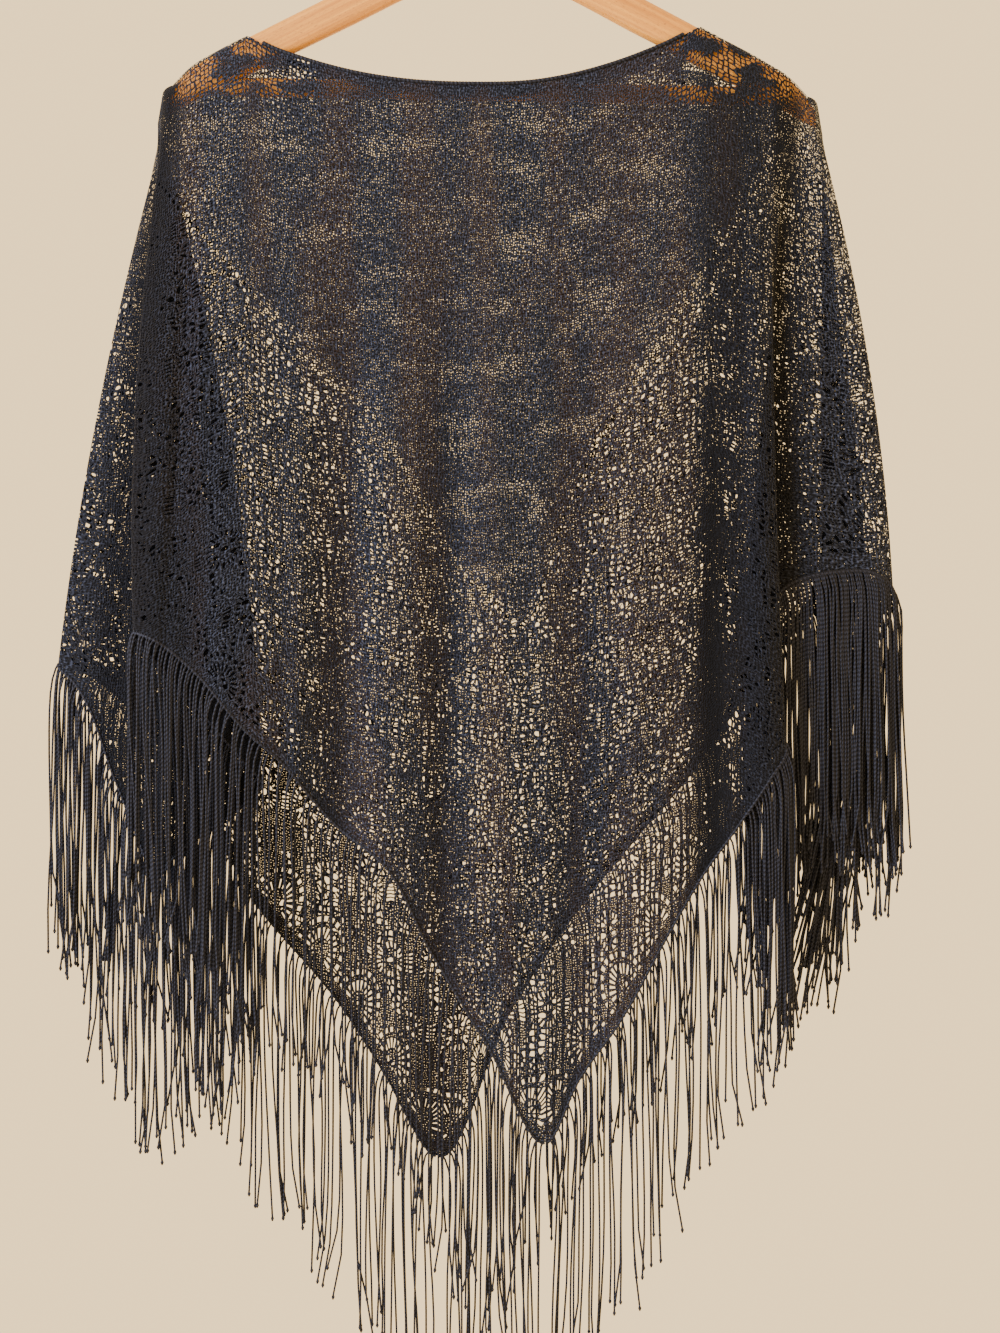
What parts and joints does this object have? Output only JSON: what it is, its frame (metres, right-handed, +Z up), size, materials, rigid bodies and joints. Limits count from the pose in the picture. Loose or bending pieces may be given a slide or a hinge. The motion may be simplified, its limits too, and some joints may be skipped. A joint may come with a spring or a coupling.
{
  "type": "lace poncho shawl with a fringe on a wooden clothes hanger",
  "caption": "Open-work lace poncho shawl with a slack neckline, pointed hems and a long fringe, hung on a wooden clothes hanger with a lower bar and a wire hook.",
  "frame": {"origin": "the point inside the top of the hanger's hook that rests on a rail", "axes": "+Z up; the shawl's front faces -Y; +X is to the right as seen from the front"},
  "size_m": [0.5816, 0.0593, 1.1264],
  "materials": {
    "black_lace": "matt warp-knitted open lace",
    "black_fringe_yarn": "twisted yarn with a slight sheen",
    "pale_beech": "clear satin lacquer",
    "bright_steel": "bright plated wire"
  },
  "bodies": {
    "root": {"front_panel": "black_lace", "back_panel": "black_lace", "neck_edge_front": "black_lace", "neck_edge_back": "black_lace", "fringe_front_left": "black_fringe_yarn", "fringe_front_right": "black_fringe_yarn", "fringe_back_left": "black_fringe_yarn", "fringe_back_right": "black_fringe_yarn", "hanger_arms": "pale_beech", "hanger_bar": "pale_beech", "hanger_hook": "bright_steel"}
  },
  "joints": []
}
